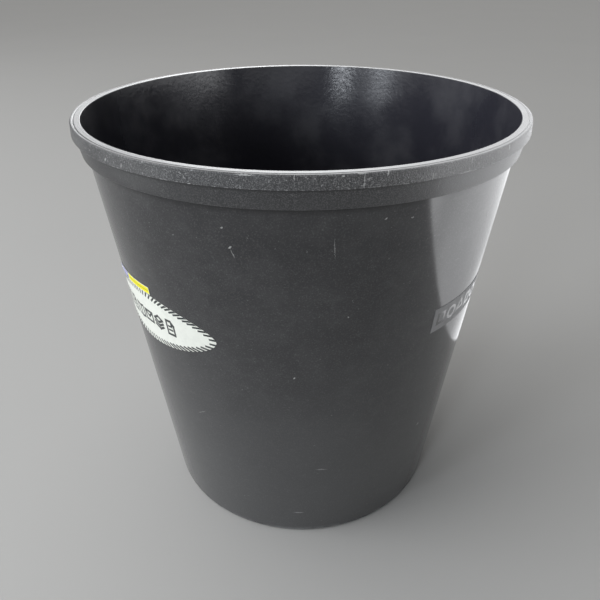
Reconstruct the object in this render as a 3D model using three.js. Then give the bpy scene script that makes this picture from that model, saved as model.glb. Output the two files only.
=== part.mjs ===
// A round tapered waste-paper bin with a stepped, downturned rim and three stuck-on labels.
// Millimetres, +Z up. The origin is the centre of the base, on the surface the bin stands on.
// Angles round the bin start at the front, -Y, and grow towards +X.

import * as THREE from 'three';

// Driving dimensions of the moulded body.
const HEIGHT = 315;
const RIM_RADIUS = 157.5;
const BASE_RADIUS = 115.7;
const SKIRT_BOTTOM_Z = 294.7;
const WALL_RADIUS_AT_SKIRT = 150.2;
const WALL = 1.6;
const SEGMENTS = 72;

// Rim: a flat land, a shallow groove, a rounded bead and two bands below it.
const LAND_EDGE_ROUND = 0.5;
const GROOVE_RADIUS = 155.7;
const GROOVE_WIDTH = 0.4;
const GROOVE_DEPTH = 0.5;
const BEAD_ROUND = 1.3;
const UPPER_BAND_BOTTOM_Z = 306.8;
const UPPER_BAND_FLARE = 0.5;
const LOWER_BAND_TOP_RADIUS = 155.9;
const LOWER_BAND_BOTTOM_RADIUS = 153.5;
const RIM_TOP_THICKNESS = 1.8;

// Base: a standing ring round a raised floor.
const FLOOR_UNDERSIDE_Z = 2.6;
const FLOOR = 2;
const FOOT_INNER_RADIUS = 106;
const FOOT_SLOPE = 1.5;
const BASE_CORNER = 3;
const INSIDE_CORNER = 4;

// Labels: thin skins that follow the tapered wall. The strip lies over the oval's upper edge.
const LABEL_GAP = 0.3;
const LABEL_THICKNESS = 0.25;
const OVER_OVAL_GAP = LABEL_GAP + LABEL_THICKNESS + LABEL_GAP;
const OVAL = { angle: -52, z: 192, halfLength: 70, halfHeight: 21, tilt: 2, gap: LABEL_GAP };
const OVAL_POWER = 1.75;
const STRIP = { angle: -57.5, z: 215.1, halfLength: 30.6, halfHeight: 2.95, tilt: 3.2, gap: OVER_OVAL_GAP };
const PLATE = { angle: 57, z: 198, halfLength: 45, halfHeight: 9.8, tilt: 0, gap: LABEL_GAP };

const TAPER = (WALL_RADIUS_AT_SKIRT - BASE_RADIUS) / SKIRT_BOTTOM_Z;
const wallRadius = (z) => BASE_RADIUS + TAPER * z;
const radians = THREE.MathUtils.degToRad;
const group = new THREE.Group();

// Points on an arc, with both of its ends. Angles are in degrees, from +r towards +z.
function arc(r, z, radius, from, to, steps) {
  return Array.from({ length: steps + 1 }, (_, i) => {
    const angle = radians(from + ((to - from) * i) / steps);
    return [r + radius * Math.cos(angle), z + radius * Math.sin(angle)];
  });
}

function baseProfile() {
  const cornerCentre = wallRadius(BASE_CORNER) - BASE_CORNER;
  return [
    [0, FLOOR_UNDERSIDE_Z],
    [FOOT_INNER_RADIUS - FOOT_SLOPE, FLOOR_UNDERSIDE_Z],
    [FOOT_INNER_RADIUS, 0],
    ...arc(cornerCentre, BASE_CORNER, BASE_CORNER, -90, 0, 4),
  ];
}

// The downturned rim: up the wall inside the pocket, down the skirt's inside, then up its outside.
function rimProfile() {
  const pocketTop = HEIGHT - RIM_TOP_THICKNESS;
  const skirtInside = LOWER_BAND_BOTTOM_RADIUS - WALL;
  const bandInside = RIM_RADIUS - WALL;
  const flared = RIM_RADIUS + UPPER_BAND_FLARE;
  return [
    [wallRadius(pocketTop), pocketTop],
    [bandInside, pocketTop],
    [bandInside, UPPER_BAND_BOTTOM_Z + WALL],
    [LOWER_BAND_TOP_RADIUS - WALL, UPPER_BAND_BOTTOM_Z],
    [skirtInside, SKIRT_BOTTOM_Z],
    [LOWER_BAND_BOTTOM_RADIUS, SKIRT_BOTTOM_Z],
    [LOWER_BAND_TOP_RADIUS, UPPER_BAND_BOTTOM_Z],
    [flared, UPPER_BAND_BOTTOM_Z],
    ...arc(RIM_RADIUS - BEAD_ROUND, HEIGHT - BEAD_ROUND, BEAD_ROUND, 0, 90, 3),
    [GROOVE_RADIUS + GROOVE_WIDTH, HEIGHT - GROOVE_DEPTH],
    [GROOVE_RADIUS, HEIGHT - GROOVE_DEPTH],
    [GROOVE_RADIUS, HEIGHT],
  ];
}

function insideProfile() {
  const edgeCentre = wallRadius(HEIGHT) - WALL + LAND_EDGE_ROUND;
  const floorTop = FLOOR_UNDERSIDE_Z + FLOOR;
  const cornerZ = floorTop + INSIDE_CORNER;
  const cornerCentre = wallRadius(cornerZ) - WALL - INSIDE_CORNER;
  return [
    ...arc(edgeCentre, HEIGHT - LAND_EDGE_ROUND, LAND_EDGE_ROUND, 90, 180, 2),
    ...arc(cornerCentre, cornerZ, INSIDE_CORNER, 0, -90, 3),
    [0, floorTop],
  ];
}

function binBody() {
  const profile = [...baseProfile(), ...rimProfile(), ...insideProfile()];
  const points = profile.map(([r, z]) => new THREE.Vector2(r, z));
  const geometry = new THREE.LatheGeometry(points, SEGMENTS);
  geometry.rotateX(Math.PI / 2);
  return geometry;
}

// A thin closed skin on the wall. Each station is [arc length, lower z, upper z], left to right.
function wallSkin(stations, label) {
  const inner = label.gap;
  const outer = label.gap + LABEL_THICKNESS;
  const positions = [];
  for (const [along, low, high] of stations) {
    const turn = radians(label.angle) + along / wallRadius(label.z);
    for (const [height, lift] of [[low, inner], [low, outer], [high, outer], [high, inner]]) {
      const r = wallRadius(height) + lift;
      positions.push(r * Math.sin(turn), -r * Math.cos(turn), height);
    }
  }
  const index = [];
  const quad = (a, b, c, d) => index.push(a, b, c, a, c, d);
  for (let s = 0; s < stations.length - 1; s += 1) {
    for (let side = 0; side < 4; side += 1) {
      const next = (side + 1) % 4;
      quad(4 * s + side, 4 * s + 4 + side, 4 * s + 4 + next, 4 * s + next);
    }
  }
  const last = 4 * (stations.length - 1);
  quad(0, 1, 2, 3);
  quad(last + 3, last + 2, last + 1, last);
  const geometry = new THREE.BufferGeometry();
  geometry.setAttribute('position', new THREE.Float32BufferAttribute(positions, 3));
  geometry.setIndex(index);
  geometry.computeVertexNormals();
  return geometry;
}

// Stations across a label, from one end to the other. rise(t) is its half height at t in -1..1.
function labelStations(label, steps, rise) {
  const slope = Math.tan(radians(label.tilt));
  return Array.from({ length: steps + 1 }, (_, i) => {
    const t = -Math.cos((Math.PI * i) / steps);
    const along = t * label.halfLength;
    const middle = label.z + slope * along;
    const half = label.halfHeight * rise(t);
    return [along, middle - half, middle + half];
  });
}

function ovalLabel() {
  const blunt = 0.03;
  const rise = (t) => Math.max(blunt, (1 - Math.abs(t) ** OVAL_POWER) ** (1 / OVAL_POWER));
  return wallSkin(labelStations(OVAL, 28, rise), OVAL);
}

function straightLabel(label) {
  return wallSkin(labelStations(label, 12, () => 1), label);
}

function material(color, roughness) {
  return new THREE.MeshStandardMaterial({ color, roughness, metalness: 0 });
}

function addPiece(name, geometry, look) {
  const mesh = new THREE.Mesh(geometry, look);
  mesh.name = name;
  group.add(mesh);
}

addPiece('bin_body', binBody(), material(0x232427, 0.42));
addPiece('oval_label', ovalLabel(), material(0xe9ece8, 0.3));
addPiece('strip_label', straightLabel(STRIP), material(0xe8d21c, 0.3));
addPiece('grey_label', straightLabel(PLATE), material(0x8b8d8f, 0.55));

export default group;
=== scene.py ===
"""A black moulded waste-paper bin with three stuck-on labels, in metres, +Z up, standing on z = 0.

Angles round the bin start at the front, -Y, and grow towards +X. Print is laid out on each label in
millimetres: u along the wall, v upwards from the label's middle.
"""

import math

import bpy
from mathutils import Matrix, Vector
from mathutils.geometry import delaunay_2d_cdt


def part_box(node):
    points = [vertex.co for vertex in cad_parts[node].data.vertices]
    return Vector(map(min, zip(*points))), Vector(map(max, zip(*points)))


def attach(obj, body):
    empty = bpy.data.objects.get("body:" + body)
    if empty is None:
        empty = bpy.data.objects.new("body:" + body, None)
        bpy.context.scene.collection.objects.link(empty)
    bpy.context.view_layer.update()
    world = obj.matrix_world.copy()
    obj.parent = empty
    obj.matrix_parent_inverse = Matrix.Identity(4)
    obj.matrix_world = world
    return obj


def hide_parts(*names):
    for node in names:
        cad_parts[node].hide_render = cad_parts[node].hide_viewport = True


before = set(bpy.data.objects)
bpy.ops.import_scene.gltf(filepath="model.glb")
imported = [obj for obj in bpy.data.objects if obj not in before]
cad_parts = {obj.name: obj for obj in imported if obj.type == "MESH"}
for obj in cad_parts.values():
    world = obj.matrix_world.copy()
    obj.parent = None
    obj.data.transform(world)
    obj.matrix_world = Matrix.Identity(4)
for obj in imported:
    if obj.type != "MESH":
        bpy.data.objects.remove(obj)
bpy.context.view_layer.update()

MM = 0.001

# The body's driving dimensions in millimetres, as in the CAD model.
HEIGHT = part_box("bin_body")[1].z / MM
RIM_RADIUS = 157.5
BASE_RADIUS = 115.7
SKIRT_BOTTOM_Z = 294.7
WALL_RADIUS_AT_SKIRT = 150.2
WALL = 1.6
TAPER = (WALL_RADIUS_AT_SKIRT - BASE_RADIUS) / SKIRT_BOTTOM_Z
UPPER_BAND_BOTTOM_Z = 306.8
UPPER_BAND_FLARE = 0.5
LOWER_BAND_TOP_RADIUS = 155.9
LOWER_BAND_BOTTOM_RADIUS = 153.5
GROOVE_RADIUS = 155.4
GROOVE_HALF_WIDTH = 0.6
GROOVE_DEPTH = 0.5
POCKET_TOP_Z = HEIGHT - 1.8
FLOOR_UNDERSIDE_Z = 2.6
FLOOR_TOP_Z = 4.6
FOOT_INNER_RADIUS = 106
DISC_RADIUS = 70
DISC_STEP = 0.5
GATE_RADIUS = 4.5
GATE_DEPTH = 0.7

# Segments round the turned body, and the angle in degrees above which an edge is shaded sharp.
SEGMENTS = 288
SHARP_ABOVE = 40

# Each label's middle on the wall, its half sizes and its lift off the wall in millimetres, and its
# angle and tilt in degrees.
OVAL = {"angle": -52, "z": 192, "half_length": 70, "half_height": 21, "tilt": 2, "lift": 0.05}
OVAL_POWER = 1.75
STRIP = {"angle": -57.5, "z": 215.1, "half_length": 30.6, "half_height": 2.95, "tilt": 3.2, "lift": 0.2}
PLATE = {"angle": 57, "z": 198, "half_length": 45, "half_height": 9.8, "tilt": 0, "lift": 0.05}
LABEL_THICKNESS = 0.12

# The grid that lets a film bend round the wall, and what is printed on it, with sizes in millimetres.
COLUMN_WIDTH = 2.6
TICK_PITCH = 4.2
TICK_WIDTH = 1.5
TICK_REACH = 3.5
SIGN_LINE = 1.9
SIGN_PITCH = 12.6
SIGN_NARROWING = 0.86
STRIP_EDGE = 0.45
STRIP_SPLIT = -1.4
SHAPE_PITCH = 12.2
SHAPE_COUNT = 7
SHAPE_MARGIN = 8.4
RING_SIDES = 28

# Camera: place in metres, turns in degrees, and lens and sensor in millimetres.
CAMERA_PLACE = (0, -0.4377, 0.4107)
CAMERA_PITCH = -30.73
CAMERA_YAW = 0.163
CAMERA_ROLL = -0.278
CAMERA_LENS = 35.67
CAMERA_SENSOR = 36

# Lamps: name, place and size in metres, power in watts and colour. Each points at LAMP_TARGET.
WINDOW_COLOUR = (0.89, 0.94, 1)
LAMP_TARGET = (0, 0, 0.3)
LAMPS = (
    ("near_window", (-1.12, -2.19, 0.80), (0.4, 0.6), 16, WINDOW_COLOUR),
    ("far_window", (-1.94, -1.51, 0.80), (0.45, 0.6), 16, WINDOW_COLOUR),
    ("side_window", (-2.5, 0.05, 1.0), (3.2, 1.1), 14, (0.97, 0.98, 1)),
    ("skylight", (-2.1, -0.5, 1.65), (1.4, 1.2), 22, (0.95, 0.97, 1)),
)

# The ceiling's soft light: the direction it comes from, its strength and its spread in degrees.
CEILING_FROM = (-0.40, 0.27, 1)
CEILING_STRENGTH = 1.7
CEILING_SPREAD = 80

# The even light from all round, and the stage.
AMBIENT_COLOUR = (0.95, 0.97, 1.0, 1)
AMBIENT_STRENGTH = 0.14
FLOOR_COLOUR = (0.46, 0.455, 0.442)
FLOOR_REACH = 6
CARD_COLOUR = (0.975, 0.985, 1)

# How a card's glow changes with distance from the bin's foot: near and far (m), gain at each.
# The dip in glow at about 0.3 to 0.45 m from the bin's foot is painted shade of the bin.
GLOW_STEPS = (
    (0.25, 0.29, 1.6, 1),
    (0.27, 0.42, 1, 2.6),
    (0.45, 0.6, 1, 1.8),
    (0.8, 1.2, 1, 0.5),
)


def wall_radius(z):
    """The wall's outer radius at a height, both in millimetres."""
    return BASE_RADIUS + TAPER * z


def unevenness(angle, z):
    """How far the real moulding stands off a true cone, in millimetres."""
    rise = z / HEIGHT
    oval = 0.10 * math.sin(2 * angle + 0.6) * (0.4 + 0.6 * rise)
    ripple = 0.035 * math.sin(5 * angle + 1.9 + 2.2 * rise)
    return oval + ripple


def on_bin(angle, r, z):
    """A point at an angle in radians, with r and z in millimetres."""
    reach = (r + unevenness(angle, z)) * MM
    return Vector((reach * math.sin(angle), -reach * math.cos(angle), z * MM))


# ---------------------------------------------------------------- mesh code


def make_object(name, verts, faces, materials, face_material):
    mesh = bpy.data.meshes.new(name)
    mesh.from_pydata([tuple(v) for v in verts], [], faces)
    for material in materials:
        mesh.materials.append(material)
    mesh.polygons.foreach_set("material_index", face_material)
    mesh.shade_smooth()
    mesh.set_sharp_from_angle(angle=math.radians(SHARP_ABOVE))
    mesh.update()
    piece = bpy.data.objects.new(name, mesh)
    bpy.context.scene.collection.objects.link(piece)
    return piece


def rounded(corners, steps=5, support=0.12):
    """Points along (r, z, fillet, zone) corners, as (r, z, zone), with each fillet as an arc."""
    points = []
    last = len(corners) - 1
    for i, (r, z, fillet, zone) in enumerate(corners):
        here = Vector((r, z))
        if i in (0, last) or not fillet:
            points.append((r, z, zone))
            continue
        back = (Vector(corners[i - 1][:2]) - here).normalized()
        ahead = (Vector(corners[i + 1][:2]) - here).normalized()
        half = back.angle(ahead) / 2
        reach = fillet / math.tan(half)
        centre = here + (back + ahead).normalized() * (fillet / math.sin(half))
        start = here + back * reach - centre
        end = here + ahead * reach - centre
        before = corners[i - 1][3]
        points.append((*(centre + start + back * support), before))
        for s in range(steps + 1):
            spoke = start.lerp(end, s / steps).normalized() * fillet
            points.append((*(centre + spoke), zone if s >= steps / 2 else before))
        points.append((*(centre + end + ahead * support), zone))
    return points


def filled_in(points, longest=9):
    """The same points, with long straight stretches divided."""
    dense = []
    for a, b in zip(points, points[1:]):
        length = math.dist(a[:2], b[:2])
        count = max(1, math.ceil(length / longest))
        for s in range(count):
            t = s / count
            dense.append((a[0] + (b[0] - a[0]) * t, a[1] + (b[1] - a[1]) * t, a[2]))
    return dense + [points[-1]]


def revolved(name, profile, materials):
    """A closed body of revolution from (r, z, zone) points that start and end on the axis."""
    verts = []
    rings = []
    for r, z, _ in profile:
        if r == 0:
            ring = [Vector((0, 0, z * MM))]
        else:
            ring = [on_bin(2 * math.pi * s / SEGMENTS, r, z) for s in range(SEGMENTS)]
        rings.append(range(len(verts), len(verts) + len(ring)))
        verts += ring
    faces = []
    zones = []
    for (lower, upper), point in zip(zip(rings, rings[1:]), profile):
        for s in range(SEGMENTS):
            n = (s + 1) % SEGMENTS
            below = [lower[s % len(lower)], lower[n % len(lower)]]
            above = [upper[n % len(upper)], upper[s % len(upper)]]
            faces.append(list(dict.fromkeys(below + above)))
            zones.append(point[2])
    return make_object(name, verts, faces, materials, zones)


# ---------------------------------------------------------------- the moulded body

# The zones of the body's surface, in the order of its materials in make_body.
OUTSIDE, UPPER_BAND, LAND, INSIDE, LOWER_BAND = range(5)


def body_corners():
    """The body's section, from the middle of its underside up the outside and down the inside."""
    flared = RIM_RADIUS + UPPER_BAND_FLARE
    inside_foot = wall_radius(FLOOR_TOP_Z) - WALL
    underside_z = FLOOR_UNDERSIDE_Z + DISC_STEP
    disc_z = FLOOR_TOP_Z + DISC_STEP
    gate_z = FLOOR_TOP_Z + 0.1
    return [
        (0, FLOOR_UNDERSIDE_Z - GATE_DEPTH, 0, OUTSIDE),
        (GATE_RADIUS - 0.5, FLOOR_UNDERSIDE_Z - GATE_DEPTH, 0.3, OUTSIDE),
        (GATE_RADIUS, FLOOR_UNDERSIDE_Z, 0.2, OUTSIDE),
        (DISC_RADIUS, FLOOR_UNDERSIDE_Z, 0.3, OUTSIDE),
        (DISC_RADIUS + 0.6, underside_z, 0.3, OUTSIDE),
        (FOOT_INNER_RADIUS - 1.8, underside_z, 0.8, OUTSIDE),
        (FOOT_INNER_RADIUS, 0, 0.5, OUTSIDE),
        (BASE_RADIUS, 0, 3, OUTSIDE),
        (wall_radius(POCKET_TOP_Z), POCKET_TOP_Z, 0.9, OUTSIDE),
        (RIM_RADIUS - WALL, POCKET_TOP_Z, 0.9, OUTSIDE),
        (RIM_RADIUS - WALL, UPPER_BAND_BOTTOM_Z + WALL, 0.4, OUTSIDE),
        (LOWER_BAND_TOP_RADIUS - WALL, UPPER_BAND_BOTTOM_Z, 0.4, OUTSIDE),
        (LOWER_BAND_BOTTOM_RADIUS - WALL, SKIRT_BOTTOM_Z, 0.25, OUTSIDE),
        (LOWER_BAND_BOTTOM_RADIUS, SKIRT_BOTTOM_Z, 0.45, LOWER_BAND),
        (LOWER_BAND_TOP_RADIUS, UPPER_BAND_BOTTOM_Z, 0.25, LOWER_BAND),
        (flared, UPPER_BAND_BOTTOM_Z, 0.5, UPPER_BAND),
        (RIM_RADIUS, HEIGHT, 1.1, LAND),
        (GROOVE_RADIUS + GROOVE_HALF_WIDTH, HEIGHT, 0.3, LAND),
        (GROOVE_RADIUS, HEIGHT - GROOVE_DEPTH, 0.3, LAND),
        (GROOVE_RADIUS - GROOVE_HALF_WIDTH, HEIGHT, 0.3, LAND),
        (wall_radius(HEIGHT) - WALL, HEIGHT, 0.5, INSIDE),
        (inside_foot, FLOOR_TOP_Z, 4, INSIDE),
        (DISC_RADIUS, FLOOR_TOP_Z, 0.4, INSIDE),
        (DISC_RADIUS - 0.6, disc_z, 0.4, INSIDE),
        (GATE_RADIUS + 2.5, disc_z, 0.3, INSIDE),
        (GATE_RADIUS + 1.9, gate_z, 0.3, INSIDE),
        (0, gate_z, 0, INSIDE),
    ]


# ---------------------------------------------------------------- materials


class Nodes:
    """One node material, built by short calls. A socket is linked and anything else is a value."""

    def __init__(self, name, **shader):
        self.material = bpy.data.materials.new(name)
        self.material.use_nodes = True
        self.tree = self.material.node_tree
        self.tree.nodes.clear()
        self.shader = self.add("ShaderNodeBsdfPrincipled", shader)
        output = self.tree.nodes.new("ShaderNodeOutputMaterial")
        self.tree.links.new(self.shader.outputs[0], output.inputs["Surface"])
        self.place = self.add("ShaderNodeTexCoord").outputs["Object"]

    def add(self, kind, values=(), **settings):
        node = self.tree.nodes.new(kind)
        for key, value in settings.items():
            setattr(node, key, value)
        for key, value in dict(values).items():
            self.set(node.inputs[key], value)
        return node

    def set(self, socket, value):
        if isinstance(value, bpy.types.NodeSocket):
            self.tree.links.new(value, socket)
        else:
            socket.default_value = value

    def fixed(self, name, value):
        """A value that is the same all over the surface, on the shader's own socket."""
        self.shader.inputs[name].default_value = value

    def math(self, operation, a, b=0.0):
        node = self.add("ShaderNodeMath", {0: a, 1: b}, operation=operation)
        return node.outputs[0]

    def vector(self, operation, a, b=(0, 0, 0)):
        node = self.add("ShaderNodeVectorMath", {0: a, 1: b}, operation=operation)
        return node.outputs["Value" if operation in ("LENGTH", "DOT_PRODUCT") else "Vector"]

    def noise(self, place, scale, detail=3.0, rough=0.55):
        values = {"Vector": place, "Scale": scale, "Detail": detail, "Roughness": rough}
        return self.add("ShaderNodeTexNoise", values).outputs["Fac"]

    def remap(self, value, low, high, to_low=0.0, to_high=1.0):
        values = {"Value": value, 1: low, 2: high, 3: to_low, 4: to_high}
        return self.add("ShaderNodeMapRange", values, interpolation_type="SMOOTHSTEP").outputs[0]

    def bump(self, height, distance, strength, under=None):
        values = {"Height": height, "Distance": distance, "Strength": strength}
        if under is not None:
            values["Normal"] = under
        return self.add("ShaderNodeBump", values).outputs["Normal"]

    def unrolled(self, around, up, out):
        """Coordinates stretched round the bin: unit direction, height and radius, each scaled."""
        x, y, z = self.add("ShaderNodeSeparateXYZ", {0: self.place}).outputs
        flat = self.vector("MULTIPLY", self.place, (1, 1, 0))
        r = self.vector("LENGTH", flat)
        unit = self.vector("NORMALIZE", flat)
        turned = self.vector("MULTIPLY", unit, (around, around, 0))
        lift = self.math("ADD", self.math("MULTIPLY", z, up), self.math("MULTIPLY", r, out))
        return self.vector("ADD", turned, self.add("ShaderNodeCombineXYZ", {2: lift}).outputs[0])

    def height(self):
        return self.add("ShaderNodeSeparateXYZ", {0: self.place}).outputs[2]

    def shaded(self, colour, mask, shade):
        """The colour with a plain shade laid over it where the mask is."""
        node = self.add("ShaderNodeMix", {0: mask, 6: colour, 7: (*shade, 1)}, data_type="RGBA")
        return node.outputs[2]

    def finish(self, colour=None, roughness=None, normal=None):
        for socket, value in (("Base Color", colour), ("Roughness", roughness), ("Normal", normal)):
            if value is not None:
                self.set(self.shader.inputs[socket], value)
        return self.material


PLASTIC_IOR = 1.49
FILM_IOR = 1.5
BLACK = (0.021, 0.021, 0.023)
GREYED_BLACK = (0.068, 0.068, 0.069)
WORN = (0.17, 0.17, 0.17)
# The colour of scuffs, and of the painted light in the wide marks.
SCUFF_AND_PAINTED_LIGHT = (0.42, 0.42, 0.41)
# The colour of painted shade under overhangs.
PAINTED_SHADE = (0.004, 0.004, 0.005)
BAND_BLACK = (0.022, 0.022, 0.024)
BAND_PATCH = (0.034, 0.034, 0.036)
BAND_CHIP = (0.26, 0.26, 0.26)
BAND_EDGE = (0.36, 0.36, 0.36)
# The land's two grey tones, with its fine rings running between them: partly painted sheen.
LAND_SHEEN_DARK = (0.09, 0.09, 0.09)
LAND_SHEEN_LIGHT = (0.15, 0.15, 0.15)
INSIDE_DARK = (0.022, 0.022, 0.029)
INSIDE_LIGHT = (0.043, 0.043, 0.050)
INSIDE_RUBBED = (0.05, 0.05, 0.055)

# Marks: angle (degrees), height, half length and half width (mm), slope (degrees) and strength.
RIM_MARKS = (
    # The first two marks are wide faint patches of painted light on the band's front left, where the
    # window light falls.
    (-36.0, 311.0, 34, 7, 0, 0.07),
    (-62.0, 311.0, 30, 7, 0, 0.06),
    (33.9, 307.3, 5.0, 0.4, 0, 0.9),
    (25.5, 309.2, 1.8, 0.35, 88, 0.8),
    (35.2, 312.9, 1.8, 0.35, 86, 0.5),
    (48.4, 313.0, 1.4, 0.4, 85, 0.6),
    (16.0, 314.0, 1.6, 0.4, 80, 0.8),
    (11.5, 311.0, 4.4, 0.3, 89, 0.6),
    (11.0, 314.8, 3.0, 0.5, 0, 0.7),
    (7.6, 314.0, 0.8, 0.5, 0, 0.8),
    (-1.2, 313.8, 1.7, 0.4, 85, 0.6),
    (-10.2, 314.4, 5.0, 0.4, 0, 0.7),
    (-43.5, 309.6, 1.3, 0.5, 50, 0.8),
    (-38.1, 309.1, 1.6, 0.4, 70, 0.7),
    (-21.2, 306.9, 1.2, 0.5, 40, 0.9),
    (96.0, 311.0, 3.0, 0.3, 84, 0.6),
    (140.0, 308.0, 6.0, 0.4, 0, 0.7),
    (-100.0, 310.0, 3.5, 0.35, 80, 0.6),
    (-150.0, 313.5, 5.0, 0.4, 0, 0.7),
)
LOWER_BAND_MARKS = (
    # The first two marks are wide faint patches of painted light on this band's front left, where the
    # window light falls.
    (-36.0, 301.0, 34, 7, 0, 0.05),
    (-62.0, 301.0, 30, 7, 0, 0.03),
    (-41.0, 300.0, 3.0, 0.3, 84, 0.2),
    (28.0, 303.0, 4.0, 0.3, 86, 0.15),
)
WALL_MARKS = (
    (-15.5, 268.6, 1.1, 0.6, 35, 0.8),
    (-15.0, 264.6, 3.2, 0.3, -70, 0.4),
    (-16.8, 280.6, 0.8, 0.5, 30, 0.6),
    (7.1, 269.4, 6.2, 0.22, -86, 0.45),
    (17.8, 285.5, 0.9, 0.5, 40, 0.9),
    (24.1, 283.5, 0.7, 0.5, 0, 0.7),
    (11.4, 220.8, 0.6, 0.6, 0, 0.6),
    (-2.0, 172.8, 0.8, 0.45, 60, 1.0),
    (45.5, 90.9, 1.4, 0.6, 30, 0.5),
    (6.6, 78.5, 4.5, 0.5, -5, 0.35),
    (-1.4, 25.1, 4.0, 0.6, 0, 0.45),
    (-34.0, 120.0, 5.0, 0.4, 35, 0.25),
    (128.0, 205.0, 7.0, 0.4, 62, 0.5),
    (171.0, 150.0, 9.0, 0.4, -24, 0.4),
    (-140.0, 96.0, 5.0, 0.5, 15, 0.5),
    (-118.0, 240.0, 1.2, 0.8, 40, 0.7),
)


def mark_mask(nodes, place, reach, angle, z, length, width, slope, strength):
    """A mask of this strength inside one mark, reach from the axis, and 0 elsewhere; most marks are
    small scuffs, a few are wide patches of painted light.
    """
    turn = math.radians(angle)
    middle = on_bin(turn, reach, z)
    rotation = Matrix.Rotation(turn, 3, "Z") @ Matrix.Rotation(-math.radians(slope), 3, "Y")
    scale = Vector((length, 6, width)) * MM
    values = {"Vector": place, "Location": middle, "Rotation": rotation.to_euler(), "Scale": scale}
    local = nodes.add("ShaderNodeMapping", values, vector_type="TEXTURE").outputs[0]
    return nodes.remap(nodes.vector("LENGTH", local), 0.5, 1.3, strength, 0.0)


def scuffs_and_painted_light(n, colour, marks, reach_at):
    """Adds ragged light scuffs, and the wide marks' patches of painted light, on a surface whose radius
    at a height is reach_at(z).
    """
    ragged = n.add("ShaderNodeTexNoise", {"Vector": n.place, "Scale": 900, "Detail": 2}).outputs["Color"]
    drift = n.vector("MULTIPLY", n.vector("SUBTRACT", ragged, (0.5, 0.5, 0.5)), (0.0016,) * 3)
    place = n.vector("ADD", n.place, drift)
    mask = 0.0
    for mark in marks:
        mask = n.math("MAXIMUM", mask, mark_mask(n, place, reach_at(mark[1]), *mark))
    return n.shaded(colour, mask, SCUFF_AND_PAINTED_LIGHT)


def painted_shade_under(n, colour, edge_z, reach, amount):
    """Paints shade on the surface just below an overhang, where the overhang keeps the light off."""
    shade = n.remap(n.height(), (edge_z - reach) * MM, edge_z * MM, 0, amount)
    return n.shaded(colour, shade, PAINTED_SHADE)


def wall_plastic():
    """The outer wall: satin black with a fine grain, dust patches, a lighter tone towards the foot,
    faint rubbing, a few scuffs and painted shade under the rim.
    """
    n = Nodes("wall_plastic", IOR=PLASTIC_IOR)
    n.fixed("Coat Weight", 0.85)
    n.fixed("Coat Roughness", 0.12)
    n.fixed("Specular IOR Level", 0.12)
    cloud = n.noise(n.place, 14, 4)
    # Random patches, and a lighter tone towards the foot.
    patches_and_lighter_foot = n.math("ADD", n.remap(cloud, 0.3, 0.75, 0, 0.25), n.remap(n.height(), 0.02, 0.28, 0.9, 0))
    colour = n.shaded((*BLACK, 1), patches_and_lighter_foot, GREYED_BLACK)
    mottle = n.noise(n.place, 60, 3, 0.6)
    colour = n.shaded(colour, n.remap(mottle, 0.42, 0.68, 0, 0.2), GREYED_BLACK)
    rubbed = n.noise(n.unrolled(9, 160, 0), 1.0, 5, 0.65)
    colour = n.shaded(colour, n.remap(rubbed, 0.52, 0.85, 0, 0.12), WORN)
    specks = n.noise(n.place, 520, 1)
    colour = n.shaded(colour, n.remap(specks, 0.74, 0.8, 0, 0.5), WORN)
    fine = n.noise(n.place, 1000, 3, 0.7)
    colour = n.shaded(colour, n.remap(fine, 0.48, 0.72, 0, 0.22), WORN)
    # Painted shade on the wall just under the rim's lower band.
    colour = painted_shade_under(n, colour, SKIRT_BOTTOM_Z, 6, 0.8)
    colour = scuffs_and_painted_light(n, colour, WALL_MARKS, wall_radius)
    foot = n.remap(n.height(), 0.0015, 0.006, 1, 0)
    foot = n.math("MULTIPLY", foot, n.remap(n.noise(n.place, 90, 4), 0.4, 0.62))
    colour = n.shaded(colour, n.math("MULTIPLY", foot, 0.8), WORN)
    grain = n.noise(n.place, 1500, 2)
    waves = n.noise(n.place, 34, 2)
    normal = n.bump(waves, 0.0004, 0.35)
    normal = n.bump(grain, 0.00006, 0.5, normal)
    roughness = n.remap(cloud, 0.3, 0.75, 0.5, 0.62)
    return n.finish(colour, roughness, normal)


def edge_wear(n, value, edge, width, amount):
    """The mask of a broken line along an edge, where value, in metres, comes within width of it."""
    near = n.remap(n.math("ABSOLUTE", n.math("SUBTRACT", value, edge)), width * 0.3, width, 1, 0)
    broken = n.remap(n.noise(n.unrolled(60, 700, 0), 1.0, 3), 0.5, 0.66, 0.05, 1)
    return n.math("MULTIPLY", n.math("MULTIPLY", near, broken), amount)


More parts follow.
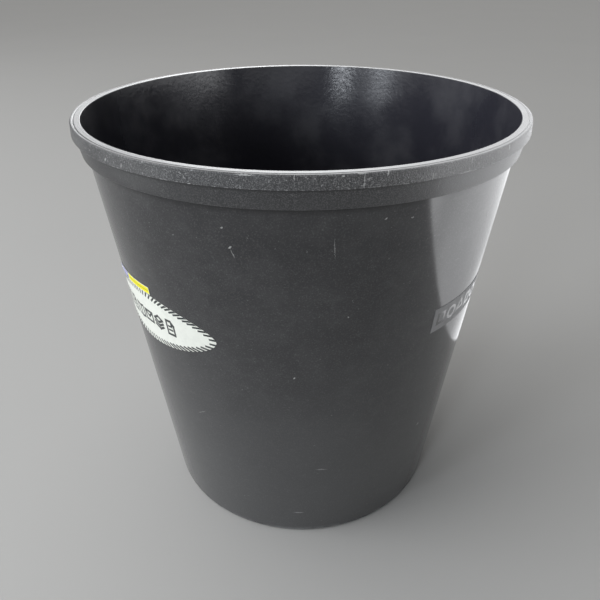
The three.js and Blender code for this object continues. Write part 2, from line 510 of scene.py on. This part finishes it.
def band_plastic(name, low_edge_z, coarse, wear, marks, shade_z=None):
    """A rim band: satin plastic with scuffs, faint patches of painted light, a worn lower edge and,
    where shade_z is given, painted shade under the band above.
    """
    n = Nodes(name, IOR=PLASTIC_IOR)
    n.fixed("Coat Weight", 0.22)
    n.fixed("Coat Roughness", 0.2)
    scuffs = n.noise(n.place, 1400, 2, 0.6)
    patches = n.noise(n.place, 90, 3, 0.6)
    rough_tone = 0.06 + 1.7 * coarse
    colour = n.shaded((*BAND_BLACK, 1), n.remap(scuffs, 0.44, 0.66), (rough_tone,) * 3)
    colour = n.shaded(colour, n.remap(patches, 0.35, 0.7, 0.4, 0), BAND_PATCH)
    chips = n.noise(n.place, 640, 1)
    colour = n.shaded(colour, n.remap(chips, 0.68, 0.74, 0, 14 * coarse), BAND_CHIP)
    # Scuffs, and the wide marks' faint patches of painted light.
    colour = scuffs_and_painted_light(n, colour, marks, lambda z: RIM_RADIUS + 0.3)
    streaks = n.noise(n.unrolled(230, 22, 0), 1.0, 3)
    colour = n.shaded(colour, n.remap(streaks, 0.68, 0.8, 0, 8 * coarse), WORN)
    colour = n.shaded(colour, edge_wear(n, n.height(), low_edge_z * MM, 0.0009, wear), BAND_EDGE)
    if shade_z is not None:
        # Painted shade on this band just under the band above.
        colour = painted_shade_under(n, colour, shade_z, 2.4, 0.95)
    normal = n.bump(scuffs, 0.0001 + 0.008 * coarse, 0.8)
    return n.finish(colour, n.remap(scuffs, 0.3, 0.7, 0.4, 0.55), normal)


def land_plastic():
    """The rim's top: polished by hands, with fine rings and cross scratches, and a grey tone, much
    lighter than the black plastic, that is partly painted sheen.
    """
    n = Nodes("land_plastic", IOR=PLASTIC_IOR)
    n.fixed("Specular IOR Level", 0.42)
    rings = n.noise(n.unrolled(3, 0, 2600), 1.0, 2)
    scratches = n.noise(n.unrolled(260, 0, 60), 1.0, 3)
    # The land's light grey is partly painted sheen, partly the fine rings of its surface.
    colour = n.shaded((*LAND_SHEEN_DARK, 1), n.remap(rings, 0.4, 0.7), LAND_SHEEN_LIGHT)
    colour = n.shaded(colour, n.remap(scratches, 0.68, 0.78, 0, 0.5), WORN)
    normal = n.bump(rings, 0.00005, 0.6)
    return n.finish(colour, n.remap(rings, 0.3, 0.7, 0.24, 0.36), normal)


def inside_plastic():
    """The inner wall and floor: smoother and darker, with the slight orange peel of the mould."""
    n = Nodes("inside_plastic", IOR=PLASTIC_IOR)
    cloud = n.noise(n.place, 20, 4)
    colour = n.shaded((*INSIDE_DARK, 1), n.remap(cloud, 0.4, 0.7), INSIDE_LIGHT)
    rubbed = n.noise(n.unrolled(14, 120, 0), 1.0, 4, 0.6)
    colour = n.shaded(colour, n.remap(rubbed, 0.6, 0.9, 0, 0.15), INSIDE_RUBBED)
    peel = n.noise(n.place, 270, 1)
    normal = n.bump(peel, 0.00012, 0.8)
    return n.finish(colour, n.remap(cloud, 0.3, 0.7, 0.18, 0.27), normal)


def print_film(name, colour, roughness, patch_gain=0.85, coat=0.0):
    """A label's printed film: one colour in faint patches, with slight dirt and an uneven surface."""
    n = Nodes(name, IOR=FILM_IOR)
    n.fixed("Coat Weight", coat)
    n.fixed("Coat Roughness", 0.12)
    dirt = n.noise(n.place, 160, 5, 0.6)
    patch = tuple(c * patch_gain for c in colour)
    tone = n.shaded((*colour, 1), n.remap(dirt, 0.45, 0.75), patch)
    grime = n.noise(n.place, 700, 2)
    dirtiest = tuple(c * 0.5 for c in colour)
    tone = n.shaded(tone, n.remap(grime, 0.68, 0.78, 0, 0.35), dirtiest)
    normal = n.bump(n.noise(n.place, 220, 2), 0.0001, 0.4)
    return n.finish(tone, n.remap(dirt, 0.3, 0.7, roughness, roughness + 0.1), normal)


# ---------------------------------------------------------------- labels


def slope_of(label):
    return math.tan(math.radians(label["tilt"]))


def straight_outline(label):
    a, b = label["half_length"], label["half_height"]
    return [(-a, -b), (a, -b), (a, b), (-a, b)]


def oval_outline(label, points=180):
    """An oval a little more pointed than an ellipse, whose power would be 2."""
    outline = []
    for i in range(points):
        t = 2 * math.pi * i / points
        c, s = math.cos(t), math.sin(t)
        u = label["half_length"] * math.copysign(abs(c) ** (2 / OVAL_POWER), c)
        v = label["half_height"] * math.copysign(abs(s) ** (2 / OVAL_POWER), s)
        outline.append((u, v))
    return outline


def inside(point, polygon):
    """Even-odd test of a point against a polygon."""
    x, y = point
    hit = False
    for (ax, ay), (bx, by) in zip(polygon, polygon[1:] + polygon[:1]):
        if (ay > y) != (by > y) and x < ax + (y - ay) * (bx - ax) / (by - ay):
            hit = not hit
    return hit


def extent(polygon):
    us, vs = zip(*polygon)
    return min(us), max(us), min(vs), max(vs)


def stroke(start, end, width):
    """A straight ink stroke with square ends, as a polygon."""
    a, b = Vector(start), Vector(end)
    along = (b - a).normalized() * width / 2
    side = Vector((-along.y, along.x))
    return [tuple(p) for p in (a - along - side, b + along - side, b + along + side, a - along + side)]


def path(points, width, closed=False):
    ends = points[1:] + points[:1] if closed else points[1:]
    return [stroke(a, b, width) for a, b in zip(points, ends)]


def block(u0, v0, u1, v1):
    return [(u0, v0), (u1, v0), (u1, v1), (u0, v1)]


def film_cuts(label, outline, prints):
    """The points and edges that cut the film up: its outline, its prints and a grid of columns."""
    a = label["half_length"]
    b = label["half_height"]
    points = []
    edges = []

    def add_line(line, closed=True):
        first = len(points)
        points.extend(Vector(p) for p in line)
        count = len(line)
        edges.extend((first + i, first + (i + 1) % count) for i in range(count if closed else count - 1))

    add_line(outline)
    for _, polygon in prints:
        add_line(polygon)
    columns = math.ceil(2 * a / COLUMN_WIDTH)
    for i in range(1, columns):
        u = -a + 2 * a * i / columns
        add_line([(u, -b - 1), (u, b + 1)], closed=False)
    return points, edges


def flat_film(label, outline, prints):
    """The film laid flat: its points, and its triangles as (corners, material index)."""
    points, edges = film_cuts(label, outline, prints)
    flat, _, triangles, *_ = delaunay_2d_cdt(points, edges, [], 0, 1e-5)
    boxes = [(extent(polygon), index, polygon) for index, polygon in prints]

    def ink(p):
        found = 0
        for (u0, u1, v0, v1), index, polygon in boxes:
            if u0 <= p.x <= u1 and v0 <= p.y <= v1 and inside(p, polygon):
                found = index
        return found

    kept = []
    for corners in triangles:
        middle = sum((flat[i] for i in corners), Vector((0, 0))) / len(corners)
        if inside(middle, outline):
            kept.append((list(corners), ink(middle)))
    used = sorted({i for corners, _ in kept for i in corners})
    at = {old: new for new, old in enumerate(used)}
    return [flat[i] for i in used], [([at[i] for i in corners], index) for corners, index in kept]


def on_wall(label, u, v, lift):
    """A label's flat point, bent round the wall and lifted off it."""
    turn = math.radians(label["angle"]) + u / wall_radius(label["z"])
    z = label["z"] + v + slope_of(label) * u
    return on_bin(turn, wall_radius(z) + lift, z)


def label_piece(name, label, outline, prints, materials):
    """A thin closed film on the wall. prints are (material index, polygon), the last one on top."""
    flat, triangles = flat_film(label, outline, prints)
    count = len(flat)
    lifts = (label["lift"], label["lift"] + LABEL_THICKNESS)
    verts = [on_wall(label, u, v, lift) for lift in lifts for u, v in flat]
    faces = []
    zones = []
    open_edges = {}
    for corners, index in triangles:
        front = [i + count for i in corners]
        faces += [front, corners[::-1]]
        zones += [index, 0]
        for p, q in zip(front, front[1:] + front[:1]):
            if (q, p) in open_edges:
                del open_edges[q, p]
            else:
                open_edges[p, q] = True
    for p, q in open_edges:
        faces.append([p - count, q - count, q, p])
        zones.append(0)
    return make_object(name, verts, faces, materials, zones)


def oval_ticks(label):
    """Slanted black ticks round the oval's edge, fanning out from its middle."""
    outline = oval_outline(label, 720)
    sides = list(zip(outline, outline[1:] + outline[:1]))
    total = sum(math.dist(p, q) for p, q in sides)
    count = round(total / TICK_PITCH)
    ticks = []
    travelled = 0.0
    for p, q in sides:
        length = math.dist(p, q)
        while len(ticks) < count and travelled + length > (len(ticks) + 0.5) * total / count:
            here = Vector(p)
            tangent = (Vector(q) - here).normalized()
            out = Vector((tangent.y, -tangent.x))
            fan = here.normalized()
            reach = TICK_REACH / max(fan.dot(out), 0.45)
            ticks.append(stroke(here + fan * 1.5, here - fan * reach, TICK_WIDTH))
        travelled += length
    return ticks


def sheet_sign(w):
    """A page with a folded corner and two lines."""
    page = [(-4, -5.6), (4, -5.6), (4, 2.6), (1.2, 5.6), (-4, 5.6)]
    lines = [[(-1.8, 1.2), (1.8, 1.2)], [(-1.8, -1.8), (1.8, -1.8)]]
    fold = [(1.2, 5.6), (1.2, 2.6), (4, 2.6)]
    return path(page, w, True) + path(fold, w * 0.7) + sum((path(line, w * 0.8) for line in lines), [])


def news_sign(w):
    """A newspaper: a headline bar over two short lines and a picture."""
    frame_lines = path([(-5, -5.6), (5, -5.6), (5, 5.6), (-5, 5.6)], w, True)
    columns = [stroke((-2.9, v), (-0.9, v), w * 0.7) for v in (-3.2, -1.1)]
    picture = [block(0.7, -3.6, 3.1, -0.6)]
    return frame_lines + [block(-3, 1.3, 3, 3.5)] + columns + picture


def envelope_sign(w):
    flap = [(-5.6, 3.8), (0, -0.6), (5.6, 3.8)]
    return path([(-5.6, -4.2), (5.6, -4.2), (5.6, 3.8), (-5.6, 3.8)], w, True) + path(flap, w)


def stack_sign(w):
    """A pile of three sheets, seen at a slant."""
    top = [(-5.2, 2.4), (0, 5), (5.2, 2.4), (0, -0.2)]
    lower = [path([(-5.2, v), (0, v - 2.6), (5.2, v)], w) for v in (-0.4, -3.1)]
    return path(top, w, True) + sum(lower, [])


def book_sign(w):
    left = [(-5.4, -4.6), (-5.4, 4.6), (0, 3.4), (0, -5.8)]
    right = [(5.4, -4.6), (5.4, 4.6), (0, 3.4), (0, -5.8)]
    return path(left, w, True) + path(right, w, True)


def oval_prints(label):
    """The ticks, with a row of plain signs for paper along the middle."""
    signs = (news_sign, sheet_sign, book_sign, envelope_sign, stack_sign, sheet_sign)
    prints = [(1, tick) for tick in oval_ticks(label)]
    for i, sign in enumerate(signs):
        middle = (i - (len(signs) - 1) / 2) * SIGN_PITCH
        for polygon in sign(SIGN_LINE):
            prints.append((1, [(middle + SIGN_NARROWING * u, v) for u, v in polygon]))
    return prints


def strip_prints(label):
    """Yellow on the right with an ochre line, blue on the left with a white bar, and a white edge."""
    end = label["half_length"]
    right = end - STRIP_EDGE
    top = label["half_height"] - STRIP_EDGE
    return [
        (1, block(STRIP_SPLIT, -top, right, top)),
        (2, block(STRIP_SPLIT + 1.5, -0.45, end - 1.2, 0.35)),
        (3, block(-right, -top, STRIP_SPLIT - 0.5, top)),
        (0, block(4 - end, -0.6, STRIP_SPLIT - 2.2, 0.7)),
    ]


def round_shape(middle, radius, sides):
    """A regular polygon with one corner up: many sides make a disc, three a triangle."""
    turns = [2 * math.pi * i / sides for i in range(sides)]
    return [(middle + radius * math.sin(t), radius * math.cos(t)) for t in turns]


def outlined_square(middle):
    return [block(middle - 4.4, -5, middle + 4.4, 5), block(middle - 2.2, -2.8, middle + 2.2, 2.8)]


def outlined_ring(middle):
    return [round_shape(middle, radius, RING_SIDES) for radius in (5.4, 3.2)]


def outlined_triangle(middle):
    return [round_shape(middle, radius, 3) for radius in (6.6, 3.6)]


def plate_prints(label):
    """A row of plain outlined shapes: a square, a ring and a triangle in turn."""
    shapes = (outlined_square, outlined_ring, outlined_triangle)
    prints = []
    for i in range(SHAPE_COUNT):
        middle = SHAPE_MARGIN - label["half_length"] + SHAPE_PITCH * i
        outer, inner = shapes[i % 3](middle)
        prints += [(1, outer), (0, inner)]
    return prints


# ---------------------------------------------------------------- camera, light and floor


def make_camera():
    data = bpy.data.cameras.new("camera")
    data.sensor_width = CAMERA_SENSOR
    data.lens = CAMERA_LENS
    data.clip_start = 0.01
    camera = bpy.data.objects.new("camera", data)
    turn = Matrix.Rotation(math.radians(CAMERA_YAW), 4, "Z")
    tip = Matrix.Rotation(math.radians(90 + CAMERA_PITCH), 4, "X")
    roll = Matrix.Rotation(math.radians(CAMERA_ROLL), 4, "Z")
    camera.matrix_world = Matrix.Translation(CAMERA_PLACE) @ turn @ tip @ roll
    bpy.context.scene.collection.objects.link(camera)
    bpy.context.scene.camera = camera


def place_lamp(name, data, rotation, place=(0, 0, 0)):
    lamp = bpy.data.objects.new(name, data)
    lamp.location = place
    lamp.rotation_euler = rotation.to_euler()
    lamp.visible_camera = False
    bpy.context.scene.collection.objects.link(lamp)


def add_area(name, place, size, power, colour):
    data = bpy.data.lights.new(name, "AREA")
    data.shape = "RECTANGLE"
    data.size, data.size_y = size
    data.energy = power
    data.color = colour
    place_lamp(name, data, (Vector(LAMP_TARGET) - Vector(place)).to_track_quat("-Z", "Y"), place)


def make_light():
    world = bpy.data.worlds.new("studio")
    world.use_nodes = True
    background = world.node_tree.nodes["Background"]
    background.inputs["Color"].default_value = AMBIENT_COLOUR
    background.inputs["Strength"].default_value = AMBIENT_STRENGTH
    bpy.context.scene.world = world
    bpy.context.scene.view_settings.view_transform = "Standard"
    for lamp in LAMPS:
        add_area(*lamp)
    ceiling = bpy.data.lights.new("ceiling", "SUN")
    ceiling.energy = CEILING_STRENGTH
    ceiling.angle = math.radians(CEILING_SPREAD)
    place_lamp("ceiling", ceiling, Vector(CEILING_FROM).to_track_quat("Z", "Y"))


def flat_material(name, colour, roughness):
    """A plain matt surface with a very slight unevenness of tone."""
    n = Nodes(name)
    soft = n.noise(n.place, 3, 2)
    tone = n.shaded((*(c * 0.97 for c in colour), 1), soft, colour)
    n.fixed("Specular IOR Level", 0)
    return n.finish(tone, roughness)


def glow_material(name, colour, level):
    """A glowing surface, dim near the bin as a painted shade of the bin, and dim far away, with a bright
    spot where it comes closest.
    """
    n = Nodes(name, Roughness=1.0)
    n.fixed("Emission Color", (*colour, 1))
    distance = n.vector("LENGTH", n.place)
    strength = level
    for step in GLOW_STEPS:
        strength = n.math("MULTIPLY", strength, n.remap(distance, *step))
    n.set(n.shader.inputs["Emission Strength"], strength)
    n.fixed("Base Color", (0, 0, 0, 1))
    return n.material


def plane(name, corners, material):
    mesh = bpy.data.meshes.new(name)
    mesh.from_pydata(corners, [], [(0, 1, 2, 3)])
    mesh.materials.append(material)
    piece = bpy.data.objects.new(name, mesh)
    bpy.context.scene.collection.objects.link(piece)
    return piece


def glowing_card(name, start, end, height, level):
    """An upright card that only shows in glossy surfaces."""
    start, end = Vector(start), Vector(end)
    up = Vector((0, 0, height))
    glow = glow_material(name, CARD_COLOUR, level)
    card = plane(name, [start, end, end + up, start + up], glow)
    card.visible_camera = False
    card.visible_diffuse = False
    card.visible_shadow = False


def make_stage():
    far = FLOOR_REACH
    corners = [(-far, -far, 0), (far, -far, 0), (far, far, 0), (-far, far, 0)]
    plane("floor", corners, flat_material("floor", FLOOR_COLOUR, 0.9))
    # A white card stands close behind the bin on its right, as a wall would, and a dim one in front.
    glowing_card("card", (0.79, -0.598, 0.008), (-0.99, 1.64, 0.008), 1.6, 1)
    glowing_card("front_card", (0.95, -1.2, 0.36), (-0.35, -1.7, 0.36), 0.9, 0.38)


# ---------------------------------------------------------------- the scene


def show(piece, node):
    """Lets a finer piece stand for one plain CAD node of the same shape."""
    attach(piece, "root")
    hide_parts(node)


def make_body():
    materials = [
        wall_plastic(),
        band_plastic("upper_band_plastic", UPPER_BAND_BOTTOM_Z, 0.05, 0.8, RIM_MARKS),
        land_plastic(),
        inside_plastic(),
        band_plastic(
            "lower_band_plastic", SKIRT_BOTTOM_Z, 0.012, 0.1, LOWER_BAND_MARKS, UPPER_BAND_BOTTOM_Z
        ),
    ]
    profile = filled_in(rounded(body_corners()))
    show(revolved("moulded_bin", profile, materials), "bin_body")


def make_labels():
    white = print_film("white_film", (0.81, 0.825, 0.755), 0.4, 0.93)
    ink = print_film("black_ink", (0.02, 0.024, 0.024), 0.3, 1.3)
    oval = label_piece("oval_film", OVAL, oval_outline(OVAL), oval_prints(OVAL), [white, ink])
    show(oval, "oval_label")
    yellow = print_film("yellow_ink", (0.90, 0.83, 0.0), 0.45)
    ochre = print_film("ochre_ink", (0.46, 0.40, 0.03), 0.45)
    blue = print_film("blue_ink", (0.15, 0.14, 0.58), 0.3)
    strip = label_piece(
        "strip_film", STRIP, straight_outline(STRIP), strip_prints(STRIP), [white, yellow, ochre, blue]
    )
    show(strip, "strip_label")
    grey = print_film("grey_film", (0.20, 0.20, 0.205), 0.5)
    gloss = print_film("gloss_black_ink", (0.014, 0.014, 0.015), 0.3, 1.2, coat=0.9)
    plate = label_piece("plate_film", PLATE, straight_outline(PLATE), plate_prints(PLATE), [grey, gloss])
    show(plate, "grey_label")


make_camera()
make_light()
make_stage()
make_body()
make_labels()
